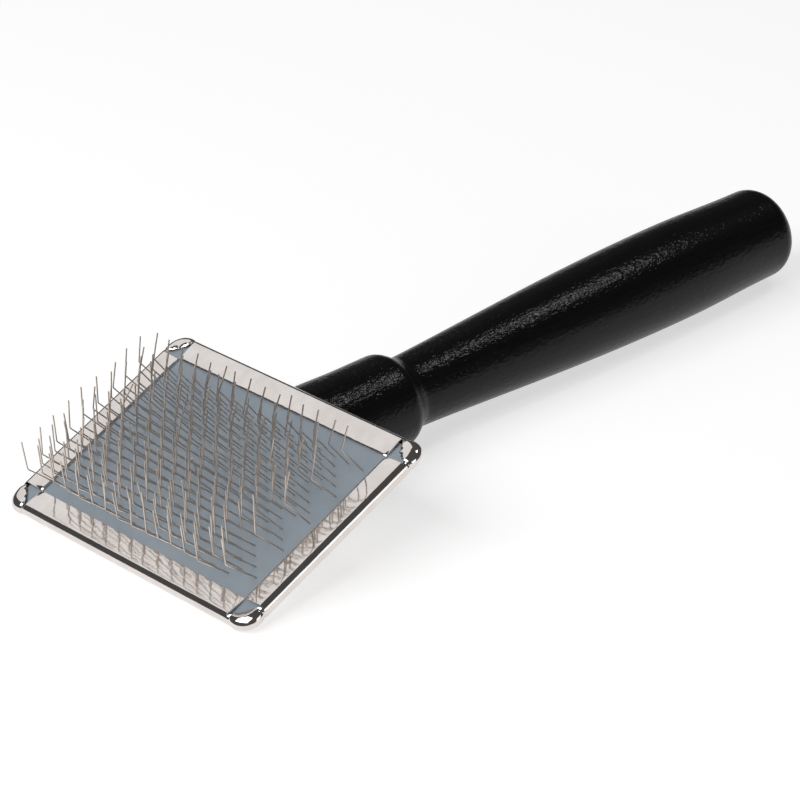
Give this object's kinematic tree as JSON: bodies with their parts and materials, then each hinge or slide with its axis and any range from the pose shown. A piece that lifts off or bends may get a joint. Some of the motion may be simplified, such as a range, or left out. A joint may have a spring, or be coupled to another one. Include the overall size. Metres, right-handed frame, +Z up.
{
  "type": "slicker brush",
  "caption": "Pet grooming slicker brush: kneed wire pins set through a rubber-faced pad in a folded sheet-metal head, fixed at a slant to a turned wooden handle.",
  "frame": {"origin": "centre of the bounding box on the surface that the brush lies on", "axes": "+Z up from that surface with the pins pointing up, +X along the handle from the head towards the butt, +Y across the head"},
  "size_m": [0.2068, 0.083, 0.0335],
  "materials": {
    "bright_steel_sheet": "bright nickel or tin plate, mirror-like with faint rolling lines",
    "wool_felt": "pressed natural felt",
    "foundation_cloth": "woven cotton, vulcanised",
    "blue_grey_rubber": "matte blue-grey rubber sheet, dimpled where the wires come through",
    "black_lacquered_wood": "glossy black lacquer over open grain",
    "zinc_plated_screw": "zinc plated",
    "pin_wire": "drawn steel wire, warm grey"
  },
  "bodies": {
    "root": {"head_tray": "bright_steel_sheet", "felt_cushion": "wool_felt", "cloth_foundation": "foundation_cloth", "rubber_face": "blue_grey_rubber", "handle": "black_lacquered_wood", "head_screws": "zinc_plated_screw", "pin_row_01": "pin_wire", "pin_row_02": "pin_wire", "pin_row_03": "pin_wire", "pin_row_04": "pin_wire", "pin_row_05": "pin_wire", "pin_row_06": "pin_wire", "pin_row_07": "pin_wire", "pin_row_08": "pin_wire", "pin_row_09": "pin_wire", "pin_row_10": "pin_wire", "pin_row_11": "pin_wire", "pin_row_12": "pin_wire", "pin_row_13": "pin_wire", "pin_row_14": "pin_wire", "pin_row_15": "pin_wire", "pin_row_16": "pin_wire", "pin_row_17": "pin_wire", "pin_row_18": "pin_wire"}
  },
  "joints": []
}
